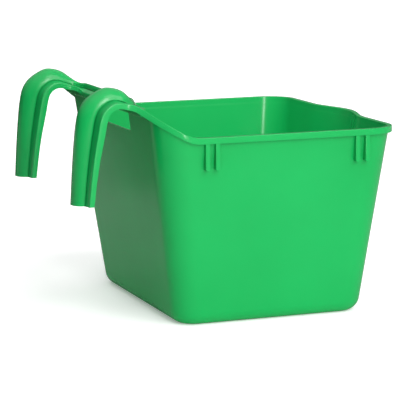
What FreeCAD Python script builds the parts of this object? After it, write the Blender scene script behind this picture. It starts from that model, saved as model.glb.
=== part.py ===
import FreeCAD, Part
import os
from math import cos, pi, radians, sin

# Horse feed bucket: one injection moulding with two over-the-rail hooks.
# Millimetres. Z is up and z = 0 is the floor it stands on. The hooks reach out
# along -X, Y runs along the hook wall, and the origin is under the tub's middle.

# Tub
RIM_Z = 231.0
BASE_HALF_X = 120.8
BASE_HALF_Y = 152.4
TOP_HALF_X = 151.7
TOP_HALF_Y = 184.0
BASE_CORNER_RADIUS = 28.5
TOP_CORNER_RADIUS = 37.0
BOTTOM_EDGE_RADIUS = 14.5
WALL = 2.8
FLOOR_THICKNESS = 3.2

# Raised wall between the hooks
CREST_RISE = 38.5
CREST_Z = RIM_Z + CREST_RISE
# Height of the wall's edge over the rim: by angle round the corner, then by distance along the wall
CORNER_RISE = ((0, 0.0), (12, 1.4), (24, 5.4), (36, 10.6), (48, 16.2), (60, 21.4), (75, 26.8), (90, 31.0))
WALL_RISE = ((8.0, 34.6), (17.0, 37.6), (26.0, CREST_RISE), (60.0, CREST_RISE))
SLOT_HALF_LENGTH = 73.0
SLOT_HEIGHT = 19.0

# Bulge for the fingers on the wall opposite the hooks
BULGE_DEPTH = 16.0
BULGE_HALF_LENGTH = 82.0

# Rim: a narrow flange with a down-turned lip
RIM_OVERHANG = 3.3
LIP_HEIGHT = 7.8
LIP_THICKNESS = 1.9
FLANGE_THICKNESS = 2.2

# Lip of the raised wall
RAIL_LIP_X = -165.0
RAIL_LIP_TOP = RIM_Z + 29.7
RAIL_LIP_BOTTOM = RIM_Z + 22.3
RAIL_ROOT_TOP = RIM_Z + 34.0
RAIL_HALF_LENGTH = 148.0

# Stacking ribs hanging below the lip, in pairs
RIB_WIDTH = 5.6
RIB_LENGTH = 30.0
RIB_PITCH = 12.6
RIB_PAIR_CENTRES = (-90.0, 101.0)

# Hooks: inner edge and outer ridge of the channel, from the root to the tip (x, height over rim)
HOOK_CENTRE_Y = 123.5
HOOK_HALF_WIDTH = 29.5
HOOK_TIP_NARROWING = 1.5
HOOK_WALL = 2.6
RIDGE_HALF_WIDTH = 15.5
ARCH_STATIONS = (
    ((-165.2, 24.0), (-163.0, 38.5)),
    ((-171.5, 27.8), (-169.5, 42.6)),
    ((-179.0, 31.6), (-178.5, 49.2)),
    ((-187.0, 34.0), (-189.5, 54.6)),
    ((-193.5, 34.0), (-201.0, 56.0)),
    ((-199.5, 31.0), (-213.0, 51.8)),
    ((-203.8, 25.5), (-224.5, 43.4)),
    ((-206.3, 17.0), (-232.0, 31.5)),
)
LEG_STATIONS = (
    ARCH_STATIONS[-1],
    ((-208.6, 5.0), (-235.8, 15.0)),
    ((-211.8, -9.5), (-238.0, -3.0)),
    ((-215.4, -26.0), (-239.8, -23.0)),
    ((-219.4, -50.0), (-241.7, -49.0)),
    ((-223.2, -79.0), (-243.5, -79.0)),
)
LIP_SHARE = 0.30
SHOULDER_SHARE = 0.46

# Sweep of the lip from the rim corner up to the hook: lip top edge, then wall edge
SWEEP_STATIONS = (
    ((-114.7, -187.3, 0.0), (-114.7, -184.0, 0.0)),
    ((-124.0, -186.2, 2.6), (-123.5, -182.6, 3.0)),
    ((-135.5, -181.6, 9.6), (-134.0, -177.8, 9.6)),
    ((-150.0, -171.2, 22.0), (-145.8, -168.0, 18.6)),
    ((-163.0, -160.8, 31.8), (-154.2, -153.0, 29.0)),
    ((-176.5, -153.6, 38.6), (-159.0, -146.0, 33.0)),
)


def vec(x, y, z):
    """Short form of a FreeCAD vector."""
    return FreeCAD.Vector(x, y, z)


def blend(low, high, share):
    """Value between two numbers."""
    return low + (high - low) * share


def wall_outline(z):
    """Half sizes and corner radius of the tapered tub's outside at a height."""
    share = z / RIM_Z
    half_x = blend(BASE_HALF_X, TOP_HALF_X, share)
    half_y = blend(BASE_HALF_Y, TOP_HALF_Y, share)
    radius = blend(BASE_CORNER_RADIUS, TOP_CORNER_RADIUS, share)
    return half_x, half_y, radius


def bulge(y, z):
    """How far the bulged wall stands out at a place along it."""
    if abs(y) >= BULGE_HALF_LENGTH:
        return 0.0
    return BULGE_DEPTH * (z / RIM_Z) * cos(pi * y / (2.0 * BULGE_HALF_LENGTH)) ** 2


def outline_wire(z, offset):
    """Rounded plan outline at a height, moved outward by an offset, with the bulge on +X."""
    half_x, half_y, radius = wall_outline(z)
    half_x += offset
    half_y += offset
    radius += offset
    line_x = half_x - radius
    line_y = half_y - radius
    side_points = []
    count = 25
    for index in range(count):
        y = blend(-line_y, line_y, index / (count - 1))
        side_points.append(vec(half_x + bulge(y, z), y, z))
    side = Part.BSplineCurve()
    side.interpolate(Points=side_points, InitialTangent=vec(0, 1, 0), FinalTangent=vec(0, 1, 0))
    edges = [side.toShape()]
    corners = ((line_x, line_y, 0), (-line_x, line_y, 90), (-line_x, -line_y, 180), (line_x, -line_y, 270))
    ends = []
    for centre_x, centre_y, start in corners:
        points = []
        for angle in (start, start + 45, start + 90):
            turn = radians(angle)
            points.append(vec(centre_x + radius * cos(turn), centre_y + radius * sin(turn), z))
        ends.append(points)
    edges.append(Part.Arc(*ends[0]).toShape())
    edges.append(Part.makeLine(ends[0][2], ends[1][0]))
    edges.append(Part.Arc(*ends[1]).toShape())
    edges.append(Part.makeLine(ends[1][2], ends[2][0]))
    edges.append(Part.Arc(*ends[2]).toShape())
    edges.append(Part.makeLine(ends[2][2], ends[3][0]))
    edges.append(Part.Arc(*ends[3]).toShape())
    return Part.Wire(edges)


def tapered_solid(z_low, z_high, offset):
    """Tapered block between two heights."""
    return Part.makeLoft([outline_wire(z_low, offset), outline_wire(z_high, offset)], True, True)


def round_bottom(solid, radius):
    """Round the edges round the lowest face of a block."""
    lowest = min(solid.Faces, key=lambda face: face.CenterOfMass.z)
    return solid.makeFillet(radius, lowest.Edges)


def tub_shell():
    """Tub wall and floor in one shell, as high as the crest all round."""
    outside = round_bottom(tapered_solid(0.0, CREST_Z, 0.0), BOTTOM_EDGE_RADIUS)
    inside = tapered_solid(FLOOR_THICKNESS, CREST_Z + 1.0, -WALL)
    inside = round_bottom(inside, BOTTOM_EDGE_RADIUS - WALL)
    return outside.cut(inside)


def box_between(low, high):
    """Box from its two opposite corners."""
    return Part.makeBox(high[0] - low[0], high[1] - low[1], high[2] - low[2], vec(*low))


def mirrored(shape):
    """The same shape on the other side of the middle plane y = 0."""
    return shape.mirror(vec(0, 0, 0), vec(0, 1, 0))


def edge_section(start, end, rise):
    """Upright section of the space above the wall's edge, between two plan points."""
    low = RIM_Z + rise
    high = CREST_Z + 20.0
    points = [vec(*start, low), vec(*end, low), vec(*end, high), vec(*start, high)]
    return Part.makePolygon(points + [points[0]])


def climbing_edge_cutter():
    """Space above the edge that climbs round the front corner on the hook side."""
    centre_x = -(TOP_HALF_X - TOP_CORNER_RADIUS)
    centre_y = -(TOP_HALF_Y - TOP_CORNER_RADIUS)
    inner = TOP_CORNER_RADIUS - 20.0
    outer = TOP_CORNER_RADIUS + 30.0
    sections = []
    for degrees, rise in CORNER_RISE:
        turn = radians(degrees)
        toward_x = -sin(turn)
        toward_y = -cos(turn)
        start = (centre_x + inner * toward_x, centre_y + inner * toward_y)
        end = (centre_x + outer * toward_x, centre_y + outer * toward_y)
        sections.append(edge_section(start, end, rise))
    for distance, rise in WALL_RISE:
        y = centre_y + distance
        sections.append(edge_section((centre_x - inner, y), (centre_x - outer, y), rise))
    return Part.makeLoft(sections, True, True)


def above_rim_cutter():
    """Everything above the edge line of the wall, flat at the rim and climbing to the crest."""
    start_x = -(TOP_HALF_X - TOP_CORNER_RADIUS)
    climb = climbing_edge_cutter()
    level = box_between((start_x, -250, RIM_Z), (250, 250, CREST_Z + 20.0))
    return level.fuse([climb, mirrored(climb)])


def corner_prism(sign_x, sign_y):
    """Slanted column holding one rounded corner of the tub, floor to crest."""
    wires = []
    for z in (-1.0, CREST_Z + 2.0):
        half_x, half_y, radius = wall_outline(z)
        near_x = sign_x * (half_x - radius)
        near_y = sign_y * (half_y - radius)
        far_x = sign_x * 260.0
        far_y = sign_y * 260.0
        points = [vec(near_x, near_y, z), vec(far_x, near_y, z), vec(far_x, far_y, z), vec(near_x, far_y, z)]
        wires.append(Part.makePolygon(points + [points[0]]))
    return Part.makeLoft(wires, True, True)


def floor_prism():
    """Column over the flat of the floor, inside the rounded bottom edge."""
    half_x, half_y, _ = wall_outline(0.0)
    reach_x = half_x - BOTTOM_EDGE_RADIUS
    reach_y = half_y - BOTTOM_EDGE_RADIUS
    return box_between((-reach_x, -reach_y, -1.0), (reach_x, reach_y, FLOOR_THICKNESS + 0.1))


def tub_nodes():
    """Floor, four walls and four corners, meeting face to face."""
    shell = tub_shell().cut(above_rim_cutter())
    slot = box_between((-200, -SLOT_HALF_LENGTH, RIM_Z), (-100, SLOT_HALF_LENGTH, RIM_Z + SLOT_HEIGHT))
    shell = shell.cut(slot)
    floor_zone = floor_prism()
    nodes = {"tub_floor": shell.common(floor_zone)}
    sides = shell.cut(floor_zone)
    corner_names = {
        (-1, -1): "corner_front_hook_side", (-1, 1): "corner_rear_hook_side",
        (1, -1): "corner_front_grip_side", (1, 1): "corner_rear_grip_side",
    }
    prisms = {}
    for signs, name in corner_names.items():
        prisms[signs] = corner_prism(*signs)
        nodes[name] = sides.common(prisms[signs])
    walls = sides.cut(list(prisms.values()))
    names_by_side = {}
    for solid in walls.Solids:
        centre = solid.CenterOfMass
        if abs(centre.x) / TOP_HALF_X > abs(centre.y) / TOP_HALF_Y:
            name = "wall_hook_side" if centre.x < 0 else "wall_grip_side"
        else:
            name = "wall_front" if centre.y < 0 else "wall_rear"
        names_by_side[name] = solid
    nodes.update(names_by_side)
    return nodes


def rim_ring():
    """Flange and lip all round, as if the rim were level everywhere."""
    low = RIM_Z - LIP_HEIGHT
    outer_low = outline_wire(RIM_Z, RIM_OVERHANG)
    outer_low.translate(vec(0, 0, -LIP_HEIGHT))
    ring = Part.Face(outer_low).extrude(vec(0, 0, LIP_HEIGHT))
    pocket_wire = outline_wire(RIM_Z, RIM_OVERHANG - LIP_THICKNESS)
    pocket_wire.translate(vec(0, 0, -LIP_HEIGHT - 1.0))
    pocket = Part.Face(pocket_wire).extrude(vec(0, 0, LIP_HEIGHT + 1.0 - FLANGE_THICKNESS))
    return ring.cut([pocket, tapered_solid(low - 2.0, RIM_Z + 1.0, 0.0)])


def rim_nodes():
    """Level rim in five lengths; it stops where it starts to climb to the hooks."""
    ring = rim_ring()
    start_x = SWEEP_STATIONS[0][0][0]
    corner_x = TOP_HALF_X - TOP_CORNER_RADIUS
    corner_y = TOP_HALF_Y - TOP_CORNER_RADIUS
    low = RIM_Z - 20.0
    high = RIM_Z + 5.0
    front = box_between((start_x, -250, low), (corner_x, -100, high))
    corner = box_between((corner_x, -250, low), (250, -corner_y, high))
    side = box_between((corner_x, -corner_y, low), (250, corner_y, high))
    return {
        "rim_front": ring.common(front),
        "rim_rear": ring.common(mirrored(front)),
        "rim_corner_front": ring.common(corner),
        "rim_corner_rear": ring.common(mirrored(corner)),
        "rim_grip_side": ring.common(side),
    }


def rail_lip():
    """Sloped flange and lip along the raised wall, from one corner to the other."""
    half_x, _, _ = wall_outline(RAIL_ROOT_TOP)
    root_x = -half_x - 0.02
    low_half_x, _, _ = wall_outline(RAIL_ROOT_TOP - 2.8)
    low_root_x = -low_half_x - 0.02
    inner_lip_x = RAIL_LIP_X + LIP_THICKNESS
    outline = (
        (root_x, RAIL_ROOT_TOP), (RAIL_LIP_X, RAIL_LIP_TOP), (RAIL_LIP_X, RAIL_LIP_BOTTOM),
        (inner_lip_x, RAIL_LIP_BOTTOM), (inner_lip_x, RAIL_LIP_TOP - 1.9), (low_root_x, RAIL_ROOT_TOP - 2.8),
    )
    points = [vec(x, -RAIL_HALF_LENGTH, z) for x, z in outline]
    return Part.Face(Part.makePolygon(points + [points[0]])).extrude(vec(0, 2.0 * RAIL_HALF_LENGTH, 0))


def channel_profile(depth, half_width, inset):
    """Half-open channel section as (across, outward) points, moved inward by an inset."""
    edge = half_width - inset
    shoulder_low = depth * LIP_SHARE - inset
    shoulder_high = depth * SHOULDER_SHARE - inset
    ridge = RIDGE_HALF_WIDTH - inset
    ridge_rise = depth * (1.0 - SHOULDER_SHARE)
    points = [(-edge, 0.0), (-edge, shoulder_low - 1.4), (-edge + 1.2, shoulder_low)]
    points.append((-0.5 * (edge + ridge), blend(shoulder_low, shoulder_high, 0.35)))
    for angle in range(180, -1, -20):
        turn = radians(angle)
        points.append((ridge * cos(turn), shoulder_high + ridge_rise * sin(turn)))
    mirrored_points = [(-across, outward) for across, outward in reversed(points[:4])]
    return points + mirrored_points


def spline_edge(points):
    """Smooth edge through points, with evenly spaced parameters."""
    curve = Part.BSplineCurve()
    parameters = [index / (len(points) - 1) for index in range(len(points))]
    curve.interpolate(Points=points, Parameters=parameters)
    return curve.toShape()


def channel_wire(station, half_width):
    """Closed section of the hook channel in the plane of one station."""
    (inner_x, inner_rise), (outer_x, outer_rise) = station
    inner = vec(inner_x, HOOK_CENTRE_Y, RIM_Z + inner_rise)
    outward = vec(outer_x - inner_x, 0, outer_rise - inner_rise)
    depth = outward.Length
    outward.normalize()

    def place(across, distance):
        return inner + outward * distance + vec(0, across, 0)

    skin = [place(*point) for point in channel_profile(depth, half_width, 0.0)]
    hollow = [place(*point) for point in reversed(channel_profile(depth, half_width, HOOK_WALL))]
    edges = [spline_edge(skin), Part.makeLine(skin[-1], hollow[0])]
    edges += [spline_edge(hollow), Part.makeLine(hollow[-1], skin[0])]
    return Part.Wire(edges)


def channel_loft(stations, narrowing):
    """Smooth length of hook channel through its stations."""
    wires = []
    for index, station in enumerate(stations):
        half_width = HOOK_HALF_WIDTH - narrowing * index / (len(stations) - 1)
        wires.append(channel_wire(station, half_width))
    return Part.makeLoft(wires, True, False)


def lip_sweep():
    """Flange and lip climbing from the front rim corner to the front hook."""
    wires = []
    for lip, wall in SWEEP_STATIONS:
        lip_top = vec(lip[0], lip[1], RIM_Z + lip[2])
        wall_top = vec(wall[0], wall[1], RIM_Z + wall[2])
        inward = vec(wall[0] - lip[0], wall[1] - lip[1], 0)
        inward.normalize()
        step = inward * LIP_THICKNESS
        drop = vec(0, 0, -LIP_HEIGHT)
        under = vec(0, 0, -FLANGE_THICKNESS)
        points = [wall_top, lip_top, lip_top + drop, lip_top + drop + step, lip_top + step + under, wall_top + under]
        wires.append(Part.makePolygon(points + [points[0]]))
    return Part.makeLoft(wires, True, True)


def rib_pair(centre_x):
    """Two stacking ribs under the front lip, rounded at the foot, as one compound of solids."""
    lip_y = -(TOP_HALF_Y + RIM_OVERHANG)
    top = RIM_Z - LIP_HEIGHT
    radius = RIB_WIDTH / 2.0
    ribs = []
    for offset in (-RIB_PITCH / 2.0, RIB_PITCH / 2.0):
        x = centre_x + offset
        body = box_between((x - radius, lip_y + 0.3, top - RIB_LENGTH + radius), (x + radius, lip_y + 16, top))
        foot_centre = vec(x, lip_y + 0.3, top - RIB_LENGTH + radius)
        foot = Part.makeCylinder(radius, 15.7, foot_centre, vec(0, 1, 0))
        ribs.append(body.fuse(foot).removeSplitter())
    return ribs[0].fuse(ribs[1])


def build():
    """All nodes of the bucket by name."""
    nodes = tub_nodes()
    nodes.update(rim_nodes())
    wall_block = tapered_solid(0.0, CREST_Z, 0.0)
    rail = rail_lip()
    arch = channel_loft(ARCH_STATIONS, 0.0).cut([wall_block, rail])
    front_arch = mirrored(arch)
    front_sweep = lip_sweep().cut([wall_block, rail, front_arch])
    leg = channel_loft(LEG_STATIONS, HOOK_TIP_NARROWING)
    nodes["rail_lip"] = rail
    nodes["hook_arch_rear"] = arch
    nodes["hook_arch_front"] = front_arch
    nodes["hook_leg_rear"] = leg
    nodes["hook_leg_front"] = mirrored(leg)
    nodes["lip_sweep_front"] = front_sweep
    nodes["lip_sweep_rear"] = mirrored(front_sweep)
    for side, centre_x in zip(("hook_side", "grip_side"), RIB_PAIR_CENTRES):
        ribs = rib_pair(centre_x).cut(wall_block)
        nodes["stacking_ribs_front_" + side] = ribs
        nodes["stacking_ribs_rear_" + side] = mirrored(ribs)
    return nodes


os.makedirs("parts", exist_ok=True)
for node_name, shape in sorted(build().items()):
    shape.exportStep("parts/" + node_name + ".step")
    box = shape.BoundBox
    print("%-30s valid=%s solids=%d volume=%.1f cm3 x %.1f..%.1f y %.1f..%.1f z %.1f..%.1f" % (
        node_name, shape.isValid(), len(shape.Solids), shape.Volume / 1000.0,
        box.XMin, box.XMax, box.YMin, box.YMax, box.ZMin, box.ZMax))
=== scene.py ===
"""Looks of the hook-over feed bucket: one moulded shell, its rim, rail, hooks and stacking ribs."""
from math import cos, pi, radians, sin

import bmesh
import bpy
import numpy as np
from mathutils import Matrix, Vector


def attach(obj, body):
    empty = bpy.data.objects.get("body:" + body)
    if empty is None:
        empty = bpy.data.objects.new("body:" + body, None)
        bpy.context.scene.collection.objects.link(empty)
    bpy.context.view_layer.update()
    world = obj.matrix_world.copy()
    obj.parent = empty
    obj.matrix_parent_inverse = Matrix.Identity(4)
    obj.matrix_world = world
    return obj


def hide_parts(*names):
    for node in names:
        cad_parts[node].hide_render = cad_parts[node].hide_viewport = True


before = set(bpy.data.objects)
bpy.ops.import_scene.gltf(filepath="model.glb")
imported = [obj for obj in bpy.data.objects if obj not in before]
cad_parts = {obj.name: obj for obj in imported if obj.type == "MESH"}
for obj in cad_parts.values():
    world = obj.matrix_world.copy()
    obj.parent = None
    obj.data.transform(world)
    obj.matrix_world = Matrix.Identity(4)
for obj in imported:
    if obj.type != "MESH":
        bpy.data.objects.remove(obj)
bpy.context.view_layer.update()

# ---------------------------------------------------------------- driving sizes, millimetres
MM = 0.001
# least length to divide by
TINY = 1e-9

RIM_Z = 231.0
BASE_HALF = (120.8, 152.4)
TOP_HALF = (151.7, 184.0)
BASE_CORNER_RADIUS = 28.5
TOP_CORNER_RADIUS = 37.0
SHARPEST_RADIUS = 1.0
BOTTOM_EDGE_RADIUS = 14.5
WALL = 2.8
FLOOR_THICKNESS = 3.2
SHELL_EDGE_ROUNDING = 0.5
# ledge inside the wall: drop below the rim, step into the wall, height of its blend, support row
LEDGE_DROP = 8.5
LEDGE_STEP = 0.15
LEDGE_BLEND = 1.6
LEDGE_SUPPORT = 0.6
WALL_TOP_GAP = 1.0

BULGE_DEPTH = 16.0
BULGE_HALF_LENGTH = 82.0

SLOT_HALF_LENGTH = 71.5
SLOT_DROP = 2.6
# support rows under the slot's foot, then shares of the side's straight kept clear at its ends
SLOT_SUPPORTS = (2.4, 0.6)
SLOT_END_GAP = 0.02
SLOT_END_MARGIN = 0.0001
# mesh rows from the slot's middle over its top edge to the crest, as shares of the crest's rise
CREST_SHARES = (0.38, 0.742, 0.80, 0.86, 0.93, 1.0)
# how far the hook-side wall rises over the level rim, by distance from the middle
CREST_LINE = (
    (0.0, 31.0), (118.0, 30.6), (126.0, 29.6), (138.0, 27.2), (147.5, 25.4), (153.4, 23.4),
    (166.4, 18.0), (175.4, 11.2), (179.9, 4.3), (181.2, 0.0), (190.0, 0.0),
)

RIM_OVERHANG = 3.3
LIP_HEIGHT = 7.8
LIP_THICKNESS = 1.9
FLANGE_THICKNESS = 2.2
LIP_TOP_ROUNDING = 1.3
LIP_FOOT_ROUNDING = 0.5
INNER_EDGE_ROUNDING = 1.0
INNER_EDGE_PROUD = 0.15
INNER_EDGE_HEIGHT = 1.8

RAIL_LIP_X = -165.0
RAIL_LIP_TOP = 29.7
RAIL_LIP_BOTTOM = 23.3
RAIL_FOOT = (-158.3, 33.3)
RAIL_EDGE = (-153.9, 30.5)
RAIL_CREST = (-156.1, 39.4)
RAIL_END = 149.0
RAIL_FILLET = 14.0

HOOK_CENTRE_Y = 123.5
HOOK_HALF_WIDTH = 29.5
HOOK_TIP_NARROWING = 1.5
HOOK_WALL = 2.6
RIDGE_HALF_WIDTH = 15.5
LIP_SHARE = 0.30
SHOULDER_SHARE = 0.41

# (inner x, rise over rim), (outer x, rise over rim) along the hook from its bend to its tip
HOOK_STATIONS = (
    ((-179.0, 31.6), (-179.5, 52.6)), ((-187.0, 34.0), (-189.5, 56.2)), ((-193.5, 34.0), (-201.0, 56.9)),
    ((-199.5, 31.0), (-213.0, 51.8)), ((-203.8, 25.5), (-224.5, 43.4)), ((-206.3, 17.0), (-232.0, 31.5)),
    ((-208.6, 5.0), (-235.8, 15.0)), ((-211.8, -9.5), (-238.0, -3.0)), ((-215.4, -26.0), (-239.8, -23.0)),
    ((-219.4, -50.0), (-241.7, -49.0)), ((-223.2, -79.0), (-243.5, -79.0)),
)
# lip top edge (x, y, rise), lip height and flange edge (x, y, rise) from the level rim up to the hook
SWEEP_STATIONS = (
    ((-98.0, -187.3, 0.0), 7.8, (-98.0, -181.2, 0.0)),
    ((-106.0, -187.3, 0.3), 7.8, (-106.0, -181.2, 0.2)),
    ((-113.5, -187.3, 1.6), 7.8, (-113.5, -181.2, 1.3)),
    ((-120.0, -186.9, 3.9), 7.8, (-119.5, -180.8, 3.4)),
    ((-127.0, -185.4, 7.4), 7.9, (-125.5, -179.3, 6.8)),
    ((-137.0, -180.6, 13.4), 8.0, (-133.6, -174.5, 12.0)),
    ((-150.0, -171.2, 22.2), 8.3, (-143.5, -166.4, 18.4)),
    ((-163.0, -160.8, 32.0), 8.7, (-151.4, -153.4, 23.8)),
    ((-170.0, -156.6, 37.0), 8.6, (-153.8, -147.5, 25.8)),
    ((-173.0, -155.3, 38.4), 8.2, (-154.1, -138.0, 27.6)),
    ((-176.5, -154.1, 39.3), 7.8, (-155.0, -126.0, 31.0)),
    ((-181.0, -153.1, 39.9), 7.4, (-165.0, -124.0, 37.0)),
)
# the raised ridge where it turns from the hook along the rail: rail-side foot, top, bowl-side foot
RIDGE_TURN = (
    ((-158.3, -84.0, 33.3), (-156.1, -84.0, 39.4), (-153.9, -84.0, 30.5)),
    ((-159.0, -93.0, 33.4), (-156.6, -94.0, 39.4), (-153.9, -96.0, 30.5)),
    ((-161.4, -100.5, 33.9), (-159.4, -103.5, 38.8), (-155.2, -107.5, 30.5)),
    ((-165.2, -105.5, 35.0), (-164.5, -112.0, 41.0), (-159.0, -119.0, 31.4)),
    ((-170.5, -107.8, 36.9), (-171.5, -119.0, 46.4), (-166.5, -132.0, 33.8)),
)
# foot fillet of the ridge as (share of its reach, share of the ridge's height)
FOOT_FILLET = ((1.0, 0.012), (0.5, 0.02), (0.12, 0.06))
FOOT_REACH = 1.8
WIDEST_FLARE = 0.4
# least size of the ridge's hollow as shares of its outside, and how far it opens below, in walls
LEAST_HOLLOW_HEIGHT = 0.4
LEAST_HOLLOW_WIDTH = 0.3
HOLLOW_SINK = 0.4

RIB_WIDTH = 5.6
RIB_LENGTH = 32.0
RIB_PITCH = 12.6
RIB_PAIR_CENTRES = (-88.8, 102.4)
RIB_EDGE = 0.7
RIB_OVERLAP = 1.0
RIB_SETBACK = 0.3

# mesh density: steps between path stations, round corners and along straights
SPAN_STEPS = 6
CORNER_STEPS = 14
SIDE_STEPS = 36
WALL_STEPS = 26
FILLET_STEPS = 8
ARCH_STEPS = 20
ARCH_TURN = (172.0, 8.0)
RAIL_STATIONS = 6
WEB_STATIONS = 8
RIM_STRAIGHT_STATIONS = 16
RIM_BULGE_STATIONS = 61
EDGE_STEPS = 4
LIP_TOP_STEPS = 5
LIP_FOOT_STEPS = 3
RIB_FOOT_STEPS = 10
# rings across the floor and lines across the flange, as shares of the way out
FLOOR_SHARES = (0.0, 0.3, 0.6, 0.85)
FLANGE_SHARES = (0.3, 0.6, 0.85)
# mesh clean-up distances in metres, shading angle in degrees, bevels as segments and degrees
WELD_DISTANCE = 0.00001
SHORTEST_EDGE = 0.000005
SHARP_ANGLE = 42.0
SHELL_BEVEL = (2, 60.0)
RIB_BEVEL = (3, 50.0)

# ---------------------------------------------------------------- moulded plastic and floor
TINT_DARK = (0.004, 0.290, 0.063)
TINT_LIGHT = (0.005, 0.314, 0.070)
ROUGHNESS_RANGE = (0.20, 0.24)
PLASTIC_IOR = 1.49
PLASTIC_SPECULAR = 0.30
# noises as scale per metre, detail and roughness, and the band of their values that is used
FLOW_NOISE = (9.0, 3.0, 0.5)
PATCH_NOISE = (28.0, 4.0, 0.6)
PEEL_NOISE = (420.0, 2.0, 0.5)
WAVE_NOISE = (16.0, 1.0, 0.5)
NOISE_BAND = (0.3, 0.7)
# bumps as strength and distance in metres
PEEL_BUMP = (0.03, 0.0002)
WAVE_BUMP = (0.10, 0.0006)
FLOOR_WHITE = 0.93
FLOOR_ROUGHNESS = 0.8
FLOOR_SIZE = 14.0

# ---------------------------------------------------------------- camera and light, metres
CAMERA_PLACE = (-0.9207, -2.4126, 0.5485)
CAMERA_RIGHT = (0.9385, -0.3452, -0.0089)
CAMERA_UP = (0.0642, 0.1493, 0.9866)
CAMERA_LENS = 185.66
SENSOR_WIDTH = 36.0
FAR_CLIP = 50.0

# room brightness near the horizon and overhead, and the heights on the unit sphere it fades between
SKY_STRENGTH = (0.10, 0.80)
SKY_FADE = (0.12, 0.50)
# suns as direction, strength and angular size in degrees
FRONT_SUN = ((-0.20, 0.78, -0.60), 1.60, 40.0)
OVERHEAD_SUN = ((0.12, 0.10, -1.0), 0.5, 60.0)
# area lights as place, target, size and power
SOFTBOX = ((-0.14, -2.0, 0.60), (0.0, 0.0, 0.25), (0.13, 1.2), 20.0)
BOWL_LIGHT = ((-0.25, -0.30, 0.80), (0.10, 0.18, 0.18), (0.25, 0.25), 0.33)
BOWL_LIGHT_SPREAD = 45.0

# plan line of the dark card behind the hook side, then the flag beside it and the grey mat
CARD_BASE = (
    (-0.36, 0.30), (-0.334, 0.47), (-0.313, 0.60), (-0.335, 0.72), (-0.37, 0.84), (-0.45, 1.10),
    (-0.30, 1.35), (0.30, 1.50),
)
CARD_HEIGHT = 0.26
FLAG_X = -0.55
FLAG_SPAN = (-0.55, 0.75)
FLAG_HEIGHT = 0.60
SHEET_GAP = 0.002
MAT_HALF = 2.5
MAT_LIFT = 0.0008
MAT_GREY = 0.38
SHEET_BLACK = 0.02
FLOOR_GLOW = 0.28


# ---------------------------------------------------------------- small geometry helpers
def unit(vectors):
    """Rows scaled to length one."""
    length = np.linalg.norm(vectors, axis=-1, keepdims=True)
    return vectors / np.maximum(length, TINY)


def smooth_path(stations, steps=SPAN_STEPS):
    """Catmull-Rom path through rows of numbers, with the same parameter for every column."""
    rows = np.array(stations, float)
    slopes = np.gradient(rows, axis=0)
    path = []
    for index in range(len(rows) - 1):
        for step in range(steps):
            t = step / steps
            low = 2 * t**3 - 3 * t**2 + 1
            high = 3 * t**2 - 2 * t**3
            leave = t**3 - 2 * t**2 + t
            arrive = t**3 - t**2
            path.append(low * rows[index] + high * rows[index + 1]
                        + leave * slopes[index] + arrive * slopes[index + 1])
    path.append(rows[-1])
    return np.array(path)


def rounded(corner, before, after, radius, steps=EDGE_STEPS):
    """Points that round off a corner, given unit directions to its two neighbours."""
    points = []
    for step in range(steps + 1):
        t = step / steps
        points.append(corner + radius * ((1 - t) ** 2 * before + t**2 * after))
    return points


def turned_towards(vectors, targets):
    """Vectors, each flipped if needed to point along its target."""
    side = np.sign(np.sum(vectors * targets, axis=-1, keepdims=True))
    return vectors * np.where(side == 0, 1.0, side)


def mirror_y(points):
    """The same points on the other side of the bucket's middle."""
    flipped = np.array(points, float)
    flipped[..., 1] *= -1.0
    return flipped


def new_piece(name, verts, faces):
    """Object from millimetre points, welded, with outward normals and smooth shading."""
    mesh = bpy.data.meshes.new(name)
    piece = bpy.data.objects.new(name, mesh)
    bpy.context.scene.collection.objects.link(piece)
    work = bmesh.new()
    made = [work.verts.new(Vector(point) * MM) for point in verts]
    for face in faces:
        work.faces.new([made[index] for index in face])
    bmesh.ops.remove_doubles(work, verts=work.verts, dist=WELD_DISTANCE)
    bmesh.ops.dissolve_degenerate(work, dist=SHORTEST_EDGE, edges=work.edges)
    bmesh.ops.recalc_face_normals(work, faces=work.faces)
    work.to_mesh(mesh)
    work.free()
    mesh.shade_smooth()
    mesh.set_sharp_from_angle(angle=radians(SHARP_ANGLE))
    return piece


def round_edges(piece, width, segments, degrees):
    """Bevel on the edges that turn by more than an angle; width in millimetres."""
    bevel = piece.modifiers.new("edge_rounding", "BEVEL")
    bevel.width = width * MM
    bevel.segments = segments
    bevel.limit_method = "ANGLE"
    bevel.angle_limit = radians(degrees)


def band_faces(ring, facing, width, columns):
    """Quads between two rings of the given width, to the right of each given column."""
    faces = []
    for column in columns:
        right = (column + 1) % width
        faces.append((ring * width + column, ring * width + right,
                      facing * width + right, facing * width + column))
    return faces


def swept_solid(name, rings):
    """Closed solid through a row of closed rings, capped at both ends."""
    count, width = rings.shape[:2]
    faces = []
    for ring in range(count - 1):
        faces += band_faces(ring, ring + 1, width, range(width))
    faces.append(tuple(range(width)))
    faces.append(tuple(range((count - 1) * width, count * width)))
    return new_piece(name, rings.reshape(-1, 3), faces)


# ---------------------------------------------------------------- tub
def tub_halves(z):
    """Half sizes and corner radius of the outer wall at a height."""
    share = z / RIM_Z
    half_x = BASE_HALF[0] + (TOP_HALF[0] - BASE_HALF[0]) * share
    half_y = BASE_HALF[1] + (TOP_HALF[1] - BASE_HALF[1]) * share
    radius = BASE_CORNER_RADIUS + (TOP_CORNER_RADIUS - BASE_CORNER_RADIUS) * share
    return half_x, half_y, radius


def bulge(y, z):
    """How far the grip side swells outward."""
    if abs(y) >= BULGE_HALF_LENGTH:
        return 0.0
    return BULGE_DEPTH * cos(pi * y / (2 * BULGE_HALF_LENGTH)) ** 2 * z / RIM_Z


def crest(y):
    """Rise of the hook-side wall over the level rim."""
    distances, rises = zip(*CREST_LINE)
    return float(np.interp(abs(y), distances, rises))


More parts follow.
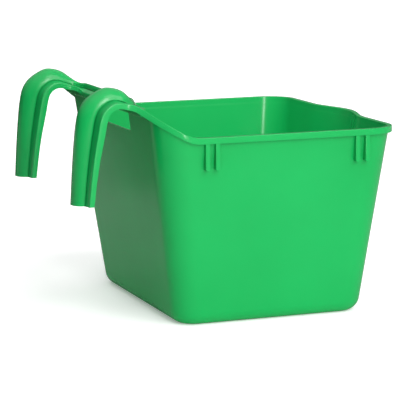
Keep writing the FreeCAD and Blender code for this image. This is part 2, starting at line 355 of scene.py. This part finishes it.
def slot_share():
    """End of the hand slot as a share of the hook side's straight half."""
    return SLOT_HALF_LENGTH / (TOP_HALF[1] - TOP_CORNER_RADIUS)


def plan_columns():
    """Places round the tub, anticlockwise: (side, share of its straight) or ("corner", angle)."""
    columns = []
    sides = (("grip", 0.0), ("rear", 90.0), ("hook", 180.0), ("front", 270.0))
    slot_end = slot_share()
    for side, start in sides:
        shares = list(np.linspace(-1.0, 1.0, SIDE_STEPS + 1))
        if side == "hook":
            shares = [share for share in shares if abs(abs(share) - slot_end) > SLOT_END_GAP]
            shares = sorted(shares + [-slot_end, slot_end])
        columns += [(side, share) for share in shares]
        columns += [("corner", start + 90.0 * step / CORNER_STEPS) for step in range(1, CORNER_STEPS)]
    return columns


def plan_point(column, z, inset):
    """Point of the wall at a place round the tub, a height and a distance in from the outer skin."""
    half_x, half_y, radius = tub_halves(z)
    half_x, half_y, radius = half_x - inset, half_y - inset, max(radius - inset, SHARPEST_RADIUS)
    straight_x, straight_y = half_x - radius, half_y - radius
    kind, value = column
    if kind == "corner":
        quarter = int(value // 90.0)
        sign_x = (1, -1, -1, 1)[quarter]
        sign_y = (1, 1, -1, -1)[quarter]
        x = sign_x * straight_x + radius * cos(radians(value))
        y = sign_y * straight_y + radius * sin(radians(value))
        return np.array((x, y, z))
    if kind == "grip":
        y = value * straight_y
        return np.array((half_x + bulge(y, z), y, z))
    if kind == "rear":
        return np.array((-value * straight_x, half_y, z))
    if kind == "hook":
        return np.array((-half_x, -value * straight_y, z))
    return np.array((value * straight_x, -half_y, z))


def wall_levels(column):
    """Heights of the wall's mesh rows at one place, up to just under the rim."""
    ledge = RIM_Z - LEDGE_DROP
    slot_foot = RIM_Z - SLOT_DROP
    low = list(np.linspace(BOTTOM_EDGE_RADIUS, ledge - LEDGE_SUPPORT, WALL_STEPS))
    low += [ledge, ledge + LEDGE_BLEND, ledge + LEDGE_BLEND + LEDGE_SUPPORT]
    low += [slot_foot - SLOT_SUPPORTS[0], slot_foot - SLOT_SUPPORTS[1], slot_foot]
    on_hook_side = column[0] == "hook" or (column[0] == "corner" and 90.0 < column[1] < 270.0)
    rise = 0.0
    if on_hook_side:
        rise = crest(plan_point(column, RIM_Z, WALL)[1])
    return low + [RIM_Z - WALL_TOP_GAP + share * rise for share in CREST_SHARES]


def outer_rings(columns):
    """Outer skin from the middle of the floor up to the wall's top."""
    rings = []
    for share in FLOOR_SHARES:
        rings.append([plan_point(column, 0.0, BOTTOM_EDGE_RADIUS) * share for column in columns])
    for step in range(FILLET_STEPS + 1):
        angle = 0.5 * pi * step / FILLET_STEPS
        z = BOTTOM_EDGE_RADIUS * (1.0 - cos(angle))
        inset = BOTTOM_EDGE_RADIUS * (1.0 - sin(angle))
        rings.append([plan_point(column, z, inset) for column in columns])
    levels = [wall_levels(column) for column in columns]
    for row in range(1, len(levels[0])):
        rings.append([plan_point(column, level[row], 0.0) for column, level in zip(columns, levels)])
    return rings


def inner_rings(columns):
    """Inner skin from the wall's top down to the middle of the floor."""
    levels = [wall_levels(column) for column in columns]
    ledge_row = WALL_STEPS + 1
    rings = []
    for row in range(len(levels[0]) - 1, 0, -1):
        inset = WALL if row >= ledge_row else WALL + LEDGE_STEP
        rings.append([plan_point(column, level[row], inset) for column, level in zip(columns, levels)])
    radius = BOTTOM_EDGE_RADIUS - WALL
    for step in range(FILLET_STEPS, -1, -1):
        angle = 0.5 * pi * step / FILLET_STEPS
        z = FLOOR_THICKNESS + radius * (1.0 - cos(angle))
        inset = WALL + LEDGE_STEP + radius * (1.0 - sin(angle))
        rings.append([plan_point(column, z, inset) for column in columns])
    floor_ring = np.array(rings[-1])
    middle = np.array((0.0, 0.0, FLOOR_THICKNESS))
    for share in reversed(FLOOR_SHARES):
        rings.append(list(middle + (floor_ring - middle) * share))
    return rings


def slot_rows(last_outer):
    """Ring numbers of the outer skin at the slot's foot, middle and top."""
    foot = last_outer - len(CREST_SHARES)
    return [foot, foot + 1, foot + 2]


def slot_spans(columns):
    """Columns whose faces to the right lie inside the slot's length."""
    slot_end = slot_share() + SLOT_END_MARGIN
    inside = [kind == "hook" and abs(share) < slot_end for kind, share in columns]
    return [index for index in range(len(columns)) if inside[index] and inside[(index + 1) % len(columns)]]


def facing_row(row, last_outer):
    """Ring of the inner skin at the height of a ring of the outer skin."""
    return 2 * last_outer + 1 - row


def slot_rim_faces(spans, outside, last_outer, width):
    """Faces through the wall's thickness round the hand slot."""
    faces = []
    for row in (outside[0], outside[-1]):
        faces += band_faces(row, facing_row(row, last_outer), width, spans)
    for column in (spans[0], spans[-1] + 1):
        for row in outside[:-1]:
            faces.append((row * width + column, (row + 1) * width + column,
                          facing_row(row + 1, last_outer) * width + column,
                          facing_row(row, last_outer) * width + column))
    return faces


def tub_mesh():
    """Floor, four walls and four corners as one shell with the hand slot through it."""
    columns = plan_columns()
    outer = outer_rings(columns)
    rings = outer + inner_rings(columns)
    width = len(columns)
    last_outer = len(outer) - 1
    outside = slot_rows(last_outer)
    inside = [facing_row(row, last_outer) for row in reversed(outside)]
    open_rows = [*range(outside[0], outside[-1]), *range(inside[0], inside[-1])]
    spans = slot_spans(columns)
    beside_slot = [column for column in range(width) if column not in spans]
    faces = []
    for row in range(len(rings) - 1):
        kept = beside_slot if row in open_rows else range(width)
        faces += band_faces(row, row + 1, width, kept)
    faces += slot_rim_faces(spans, outside, last_outer, width)
    piece = new_piece("tub_shell", [point for ring in rings for point in ring], faces)
    round_edges(piece, SHELL_EDGE_ROUNDING, *SHELL_BEVEL)
    return piece


# ---------------------------------------------------------------- hooks, in the front hook's place
def hook_row(station, half_width):
    """Lip top, lip foot, ridge foot and ridge top of one hook station, as rises over the rim."""
    inner = np.array((station[0][0], 0.0, station[0][1]))
    outer = np.array((station[1][0], 0.0, station[1][1]))
    along = outer - inner
    return {
        "lip": inner + along * LIP_SHARE,
        "foot": inner,
        "root": inner + along * SHOULDER_SHARE,
        "top": outer,
        "half": half_width,
    }


def hook_rows():
    """All hook stations from the bend to the tip, narrowing slightly to the tip."""
    last = len(HOOK_STATIONS) - 1
    return [hook_row(station, HOOK_HALF_WIDTH - HOOK_TIP_NARROWING * index / last)
            for index, station in enumerate(HOOK_STATIONS)]


def raised(x, y, rise):
    """Point from a rise over the rim."""
    return np.array((x, y, RIM_Z + rise))


def side_edges(row, side):
    """Lip top, lip foot and ridge foot of a hook row; side is -1 for the outer edge, 1 for the rail side."""
    edge_y = -HOOK_CENTRE_Y + side * row["half"]
    root_y = -HOOK_CENTRE_Y + side * RIDGE_HALF_WIDTH
    lip = raised(row["lip"][0], edge_y, row["lip"][2])
    foot = raised(row["foot"][0], edge_y, row["foot"][2])
    root = raised(row["root"][0], root_y, row["root"][2])
    return np.concatenate((lip, foot, root))


def sweep_rows():
    """Rim-to-hook stations of the outer edge as lip top, lip foot, flange edge."""
    rows = []
    for lip, height, wall in SWEEP_STATIONS:
        top = raised(*lip)
        rows.append(np.concatenate((top, top - (0.0, 0.0, height), raised(*wall))))
    return rows


def rail_row(y):
    """Lip top, lip foot and ridge foot of the straight rail."""
    lip = raised(RAIL_LIP_X, y, RAIL_LIP_TOP)
    foot = raised(RAIL_LIP_X, y, RAIL_LIP_BOTTOM)
    edge = raised(RAIL_FOOT[0], y, RAIL_FOOT[1])
    return np.concatenate((lip, foot, edge))


def rail_rows():
    """Stations of the rail from the bucket's middle to the plan fillet beside the front hook."""
    last_y = -(HOOK_CENTRE_Y - HOOK_HALF_WIDTH - RAIL_FILLET)
    return [rail_row(y) for y in np.linspace(0.0, last_y, RAIL_STATIONS)]


def fillet_rows():
    """Stations round the inside corner between the rail and the front hook."""
    bend = hook_rows()[0]
    centre_x = bend["lip"][0]
    edge_y = -HOOK_CENTRE_Y + HOOK_HALF_WIDTH
    centre_y = edge_y + RAIL_FILLET
    lip_reach = RAIL_LIP_X - centre_x
    turns = RIDGE_TURN[1:]
    rows = []
    for index, (root, _, _) in enumerate(turns):
        share = (index + 1) / (len(turns) + 1)
        turn = 0.5 * pi * share
        ease = sin(turn)
        lip = (centre_x + lip_reach * cos(turn), centre_y + (edge_y - centre_y) * sin(turn))
        lip_rise = RAIL_LIP_TOP + (bend["lip"][2] - RAIL_LIP_TOP) * ease
        foot_rise = RAIL_LIP_BOTTOM + (bend["foot"][2] - RAIL_LIP_BOTTOM) * ease
        rows.append(np.concatenate((raised(*lip, lip_rise), raised(*lip, foot_rise), raised(*root))))
    return rows


def outer_edge_rows():
    """Outer edge of the front hook from the level rim to the tip."""
    return sweep_rows() + [side_edges(row, -1) for row in hook_rows()[1:]]


def rail_edge_rows():
    """Rail from the middle, round the fillet and down the rail side of the front hook to the tip."""
    return rail_rows() + fillet_rows() + [side_edges(row, 1) for row in hook_rows()]


# ---------------------------------------------------------------- rim
def level_rim_places():
    """Level rim from the front sweep round the grip side to the rear sweep, as x, y and the way out."""
    start_x = SWEEP_STATIONS[0][0][0]
    straight_x = TOP_HALF[0] - TOP_CORNER_RADIUS
    straight_y = TOP_HALF[1] - TOP_CORNER_RADIUS
    turns = [0.5 * pi * step / CORNER_STEPS for step in range(1, CORNER_STEPS)]
    places = [(x, -straight_y, 0.0, -1.0)
              for x in np.linspace(start_x, straight_x, RIM_STRAIGHT_STATIONS)[1:]]
    places += [(straight_x, -straight_y, sin(turn), -cos(turn)) for turn in turns]
    places += [(straight_x + bulge(y, RIM_Z), y, 1.0, 0.0)
               for y in np.linspace(-straight_y, straight_y, RIM_BULGE_STATIONS)]
    places += [(straight_x, straight_y, cos(turn), sin(turn)) for turn in turns]
    places += [(x, straight_y, 0.0, 1.0)
               for x in np.linspace(straight_x, start_x, RIM_STRAIGHT_STATIONS)[:-1]]
    return places


def level_rim_rows():
    """Stations of the level rim as lip top, lip foot, flange edge."""
    lip_reach = TOP_CORNER_RADIUS + RIM_OVERHANG
    edge_reach = TOP_CORNER_RADIUS - WALL
    rows = []
    for x, y, way_x, way_y in level_rim_places():
        lip = raised(x + lip_reach * way_x, y + lip_reach * way_y, 0.0)
        edge = raised(x + edge_reach * way_x, y + edge_reach * way_y, 0.0)
        rows.append(np.concatenate((lip, lip - (0.0, 0.0, LIP_HEIGHT), edge)))
    return np.array(rows)


def mirror_rows(rows):
    """Edge rows of the other hook."""
    return mirror_y(rows.reshape(len(rows), 3, 3)).reshape(rows.shape)


def ribbon_rings(rows):
    """Closed sections of flange and lip: rounded edges outside, square corners inside."""
    lip, foot, edge = rows[:, :3], rows[:, 3:6], rows[:, 6:]
    along = unit(np.gradient(lip, axis=0))
    down = unit(foot - lip)
    across = unit(edge - lip)
    inward = turned_towards(unit(np.cross(along, down)), across)
    under = turned_towards(unit(np.cross(along, across)), down)
    edge = edge + across * INNER_EDGE_PROUD
    points = [edge + under * INNER_EDGE_HEIGHT]
    points += rounded(edge, under, -across, INNER_EDGE_ROUNDING)
    for share in FLANGE_SHARES:
        points.append(edge + (lip - edge) * share)
    points += rounded(lip, across, down, LIP_TOP_ROUNDING, LIP_TOP_STEPS)
    points.append(lip + (foot - lip) * 0.5)
    points += rounded(foot, -down, inward, LIP_FOOT_ROUNDING, LIP_FOOT_STEPS)
    inner_foot = foot + inward * LIP_THICKNESS
    points += rounded(inner_foot, -inward, -down, LIP_FOOT_ROUNDING, LIP_FOOT_STEPS)
    points.append(lip + inward * LIP_THICKNESS + under * FLANGE_THICKNESS)
    return np.stack(points, axis=1)


def outer_rim_mesh():
    """Lip and flange in one run: front hook's outer edge, rim, rear hook's outer edge."""
    climb = smooth_path(outer_edge_rows())
    run = np.concatenate((climb[::-1], level_rim_rows(), mirror_rows(climb)))
    return swept_solid("outer_rim_lip", ribbon_rings(run))


def rail_mesh():
    """Lip and flange of the rail, running on into the rail sides of both hooks."""
    half = smooth_path(rail_edge_rows())
    run = np.concatenate((half[::-1], mirror_rows(half)[1:]))
    return swept_solid("rail_lip_run", ribbon_rings(run))


def rail_web_mesh(name, side):
    """Length of the rail's lip that carries on along the wall under a hook's root."""
    start_y = HOOK_CENTRE_Y - HOOK_HALF_WIDTH - RAIL_FILLET
    rows = np.array([rail_row(side * y) for y in np.linspace(start_y, RAIL_END, WEB_STATIONS)])
    return swept_solid(name, ribbon_rings(rows))


# ---------------------------------------------------------------- hook ridges
def ridge_rows():
    """Ridge stations as rail-side foot, top, outer foot: along the rail, round the turn, down the hook."""
    straight = []
    for y in np.linspace(0.0, RIDGE_TURN[0][0][1], RAIL_STATIONS)[:-1]:
        parts = (raised(RAIL_FOOT[0], y, RAIL_FOOT[1]), raised(RAIL_CREST[0], y, RAIL_CREST[1]),
                 raised(RAIL_EDGE[0], y, RAIL_EDGE[1]))
        straight.append(np.concatenate(parts))
    turn = [np.concatenate([raised(*point) for point in station]) for station in RIDGE_TURN]
    hook = []
    for row in hook_rows():
        top = raised(row["top"][0], -HOOK_CENTRE_Y, row["top"][2])
        hook.append(np.concatenate((side_edges(row, 1)[6:], top, side_edges(row, -1)[6:])))
    return straight + turn + hook


def ridge_rings(rows):
    """Closed sections of the hollow ridge: half-round arch with small foot fillets."""
    rail_foot, top, rim_foot = rows[:, :3], rows[:, 3:6], rows[:, 6:]
    middle = 0.5 * (rail_foot + rim_foot)
    half = 0.5 * (rim_foot - rail_foot)
    out = top - middle
    height = np.linalg.norm(out, axis=1, keepdims=True)
    width = np.linalg.norm(half, axis=1, keepdims=True)
    shrink = np.maximum(height - HOOK_WALL, LEAST_HOLLOW_HEIGHT * height) / height
    narrow = np.maximum(width - HOOK_WALL, LEAST_HOLLOW_WIDTH * width) / width
    sink = -unit(out) * HOOK_WALL * HOLLOW_SINK
    flare = np.minimum(FOOT_REACH / width, WIDEST_FLARE)
    turns = np.radians(np.linspace(*ARCH_TURN, ARCH_STEPS + 1))
    arch = [(cos(turn), sin(turn)) for turn in turns]
    points = [middle - half * (1.0 + flare * reach) + out * rise for reach, rise in FOOT_FILLET]
    points += [middle + half * across + out * rise for across, rise in arch]
    points += [middle + half * (1.0 + flare * reach) + out * rise for reach, rise in reversed(FOOT_FILLET)]
    points += [middle + sink + half * narrow * across + out * shrink * rise
               for across, rise in reversed(arch)]
    return np.stack(points, axis=1)


def ridge_mesh(name, rear):
    """One hook's ridge with its half of the rail's crest, from the bucket's middle to the tip."""
    rings = ridge_rings(smooth_path(ridge_rows()))
    if rear:
        rings = mirror_y(rings)
    return swept_solid(name, rings)


# ---------------------------------------------------------------- stacking ribs
def rib_outline(x):
    """Front outline of one rib as (x, z), with a round foot."""
    radius = RIB_WIDTH / 2.0
    top = RIM_Z - LIP_HEIGHT + RIB_OVERLAP
    foot = RIM_Z - LIP_HEIGHT - RIB_LENGTH + radius
    points = [(x - radius, top)]
    for step in range(RIB_FOOT_STEPS + 1):
        turn = pi + pi * step / RIB_FOOT_STEPS
        points.append((x + radius * cos(turn), foot + radius * sin(turn)))
    return points + [(x + radius, top)]


def rib_pair_mesh(name, centre_x, side):
    """Two ribs under the lip; side is -1 at the front and 1 at the rear."""
    verts = []
    faces = []
    front_y = TOP_HALF[1] + RIM_OVERHANG - RIB_SETBACK
    for offset in (-RIB_PITCH / 2.0, RIB_PITCH / 2.0):
        outline = rib_outline(centre_x + offset)
        count = len(outline)
        start = len(verts)
        verts += [(x, side * front_y, z) for x, z in outline]
        verts += [(x, side * (tub_halves(z)[1] - RIB_OVERLAP), z) for x, z in outline]
        faces.append(tuple(range(start, start + count)))
        faces.append(tuple(range(start + count, start + 2 * count)))
        for index in range(count):
            after = (index + 1) % count
            faces.append((start + index, start + after, start + count + after, start + count + index))
    piece = new_piece(name, verts, faces)
    round_edges(piece, RIB_EDGE, *RIB_BEVEL)
    return piece


# ---------------------------------------------------------------- material
def add_node(tree, kind, **values):
    """New shader node with its settings."""
    node = tree.nodes.new(kind)
    for key, value in values.items():
        setattr(node, key, value)
    return node


def noise(tree, vector, scale, detail, rough):
    """Noise texture in object space."""
    node = add_node(tree, "ShaderNodeTexNoise")
    node.inputs["Scale"].default_value = scale
    node.inputs["Detail"].default_value = detail
    node.inputs["Roughness"].default_value = rough
    tree.links.new(vector, node.inputs["Vector"])
    return node.outputs["Fac"]


def map_range(tree, value, source, target):
    """Value mapped from one range to another."""
    node = add_node(tree, "ShaderNodeMapRange")
    for socket, number in zip(("From Min", "From Max", "To Min", "To Max"), (*source, *target)):
        node.inputs[socket].default_value = number
    tree.links.new(value, node.inputs["Value"])
    return node.outputs["Result"]


def colour_ramp(tree, value, stops):
    """Colour ramp with (position, colour) stops."""
    node = add_node(tree, "ShaderNodeValToRGB")
    ramp = node.color_ramp
    while len(ramp.elements) < len(stops):
        ramp.elements.new(1.0)
    for element, (position, colour) in zip(ramp.elements, stops):
        element.position = position
        element.color = (*colour, 1.0)
    tree.links.new(value, node.inputs["Fac"])
    return node.outputs["Color"]


def bump(tree, height, strength, distance):
    """Bump node driven by a height."""
    node = add_node(tree, "ShaderNodeBump")
    node.inputs["Strength"].default_value = strength
    node.inputs["Distance"].default_value = distance
    tree.links.new(height, node.inputs["Height"])
    return node


def moulded_plastic():
    """Glossy moulded green plastic: faint flow mottling, patchy gloss, orange peel and long waves."""
    material = bpy.data.materials.new("moulded_plastic")
    material.use_nodes = True
    tree = material.node_tree
    shader = tree.nodes["Principled BSDF"]
    place = add_node(tree, "ShaderNodeTexCoord").outputs["Object"]
    flow = noise(tree, place, *FLOW_NOISE)
    tint = colour_ramp(tree, flow, ((NOISE_BAND[0], TINT_DARK), (NOISE_BAND[1], TINT_LIGHT)))
    tree.links.new(tint, shader.inputs["Base Color"])
    gloss = map_range(tree, noise(tree, place, *PATCH_NOISE), NOISE_BAND, ROUGHNESS_RANGE)
    tree.links.new(gloss, shader.inputs["Roughness"])
    shader.inputs["IOR"].default_value = PLASTIC_IOR
    shader.inputs["Specular IOR Level"].default_value = PLASTIC_SPECULAR
    peel = bump(tree, noise(tree, place, *PEEL_NOISE), *PEEL_BUMP)
    wave = bump(tree, noise(tree, place, *WAVE_NOISE), *WAVE_BUMP)
    tree.links.new(peel.outputs["Normal"], wave.inputs["Normal"])
    tree.links.new(wave.outputs["Normal"], shader.inputs["Normal"])
    return material


def floor_material():
    """Plain pale floor that glows slightly, so it renders white."""
    material = bpy.data.materials.new("pale_floor")
    material.use_nodes = True
    shader = material.node_tree.nodes["Principled BSDF"]
    shader.inputs["Base Color"].default_value = (FLOOR_WHITE, FLOOR_WHITE, FLOOR_WHITE, 1.0)
    shader.inputs["Roughness"].default_value = FLOOR_ROUGHNESS
    shader.inputs["Emission Color"].default_value = (1.0, 1.0, 1.0, 1.0)
    shader.inputs["Emission Strength"].default_value = FLOOR_GLOW
    return material


# ---------------------------------------------------------------- stage
def add_floor():
    """Large plain floor under the bucket."""
    bpy.ops.mesh.primitive_plane_add(size=FLOOR_SIZE, location=(0.0, 0.0, 0.0))
    floor = bpy.context.object
    floor.name = "studio_floor"
    floor.data.materials.append(floor_material())


def add_world():
    """Dim room with a bright ceiling."""
    world = bpy.data.worlds.new("studio")
    bpy.context.scene.world = world
    world.use_nodes = True
    tree = world.node_tree
    background = tree.nodes["Background"]
    background.inputs["Color"].default_value = (1.0, 1.0, 1.0, 1.0)
    way = add_node(tree, "ShaderNodeTexCoord").outputs["Generated"]
    parts = add_node(tree, "ShaderNodeSeparateXYZ")
    tree.links.new(way, parts.inputs["Vector"])
    brightness = map_range(tree, parts.outputs["Z"], SKY_FADE, SKY_STRENGTH)
    tree.links.new(brightness, background.inputs["Strength"])


def add_sun(name, direction, strength, spread_degrees):
    """Very soft even light from one side."""
    data = bpy.data.lights.new(name, "SUN")
    data.energy = strength
    data.angle = radians(spread_degrees)
    light = bpy.data.objects.new(name, data)
    bpy.context.scene.collection.objects.link(light)
    light.rotation_euler = Vector(direction).to_track_quat("-Z", "Y").to_euler()


def studio_sheet(name, outline, grey):
    """Matt sheet beside the view, strung along (low corner, high corner) pairs; the camera misses it."""
    work = bmesh.new()
    pairs = [(work.verts.new(low), work.verts.new(high)) for low, high in outline]
    for (low, high), (next_low, next_high) in zip(pairs, pairs[1:]):
        work.faces.new((low, next_low, next_high, high))
    mesh = bpy.data.meshes.new(name)
    work.to_mesh(mesh)
    work.free()
    sheet = bpy.data.objects.new(name, mesh)
    bpy.context.scene.collection.objects.link(sheet)
    material = bpy.data.materials.new(name)
    material.use_nodes = True
    shader = material.node_tree.nodes["Principled BSDF"]
    shader.inputs["Base Color"].default_value = (grey, grey, grey, 1.0)
    shader.inputs["Roughness"].default_value = 1.0
    mesh.materials.append(material)
    sheet.visible_camera = False
    sheet.visible_shadow = False
    return sheet


def add_dark_card():
    """Curved card behind the hook side, seen only in reflections."""
    pairs = [((x, y, SHEET_GAP), (x, y, CARD_HEIGHT)) for x, y in CARD_BASE]
    card = studio_sheet("dark_card", pairs, SHEET_BLACK)
    card.visible_diffuse = False


def add_side_flag():
    """Upright flag that keeps diffuse light off the hook side."""
    pairs = [((FLAG_X, y, SHEET_GAP), (FLAG_X, y, FLAG_HEIGHT)) for y in FLAG_SPAN]
    flag = studio_sheet("side_flag", pairs, SHEET_BLACK)
    flag.visible_glossy = False


def add_grey_mat():
    """Grey mat just over the floor, seen only in reflections."""
    pairs = [((-MAT_HALF, y, MAT_LIFT), (MAT_HALF, y, MAT_LIFT)) for y in (-MAT_HALF, MAT_HALF)]
    mat = studio_sheet("grey_mat", pairs, MAT_GREY)
    mat.visible_diffuse = False


def add_area(name, place, target, size, power):
    """Soft rectangular light aimed at a point."""
    data = bpy.data.lights.new(name, "AREA")
    data.shape = "RECTANGLE"
    data.size, data.size_y = size
    data.energy = power
    light = bpy.data.objects.new(name, data)
    bpy.context.scene.collection.objects.link(light)
    light.location = place
    way = Vector(target) - Vector(place)
    light.rotation_euler = way.to_track_quat("-Z", "Y").to_euler()
    return light


def add_camera():
    """Camera at the product view's angle."""
    data = bpy.data.cameras.new("camera")
    data.sensor_width = SENSOR_WIDTH
    data.lens = CAMERA_LENS
    data.clip_end = FAR_CLIP
    camera = bpy.data.objects.new("camera", data)
    bpy.context.scene.collection.objects.link(camera)
    right = Vector(CAMERA_RIGHT).normalized()
    up = Vector(CAMERA_UP)
    back = right.cross(up).normalized()
    up = back.cross(right)
    turn = Matrix((right, up, back)).transposed().to_4x4()
    camera.matrix_world = Matrix.Translation(CAMERA_PLACE) @ turn
    bpy.context.scene.camera = camera


def light_stage():
    """Soft sun from the front, weak one above, tall softbox, light into the bowl, dim hook side."""
    add_world()
    add_sun("front_light", *FRONT_SUN)
    add_sun("overhead", *OVERHEAD_SUN)
    add_area("softbox", *SOFTBOX)
    bowl_light = add_area("bowl_light", *BOWL_LIGHT)
    bowl_light.data.spread = radians(BOWL_LIGHT_SPREAD)
    bowl_light.visible_glossy = False
    add_dark_card()
    add_side_flag()
    add_grey_mat()
    bpy.context.scene.view_settings.view_transform = "Standard"


# ---------------------------------------------------------------- assembly
def nodes_named(*beginnings):
    """CAD node names that start with any of the given words."""
    return [name for name in sorted(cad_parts) if name.startswith(beginnings)]


def add_piece(piece, material, nodes):
    """Gives a piece its material and its place in the frame."""
    piece.data.materials.append(material)
    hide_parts(*nodes)
    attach(piece, "root")


def build():
    """All pieces of the bucket."""
    plastic = moulded_plastic()
    add_piece(tub_mesh(), plastic, nodes_named("tub_", "wall_", "corner_"))
    add_piece(outer_rim_mesh(), plastic, nodes_named("rim_", "lip_sweep_"))
    add_piece(rail_mesh(), plastic, ["rail_lip"])
    for end, side in (("front", -1), ("rear", 1)):
        add_piece(rail_web_mesh("rail_web_" + end, side), plastic, ["rail_lip"])
    for end, rear in (("front", False), ("rear", True)):
        add_piece(ridge_mesh("hook_" + end, rear), plastic, ["hook_arch_" + end, "hook_leg_" + end])
    for end, side in (("front", -1), ("rear", 1)):
        for place, centre_x in zip(("hook_side", "grip_side"), RIB_PAIR_CENTRES):
            name = "stacking_ribs_" + end + "_" + place
            add_piece(rib_pair_mesh("shown_" + name, centre_x, side), plastic, [name])


build()
add_floor()
light_stage()
add_camera()
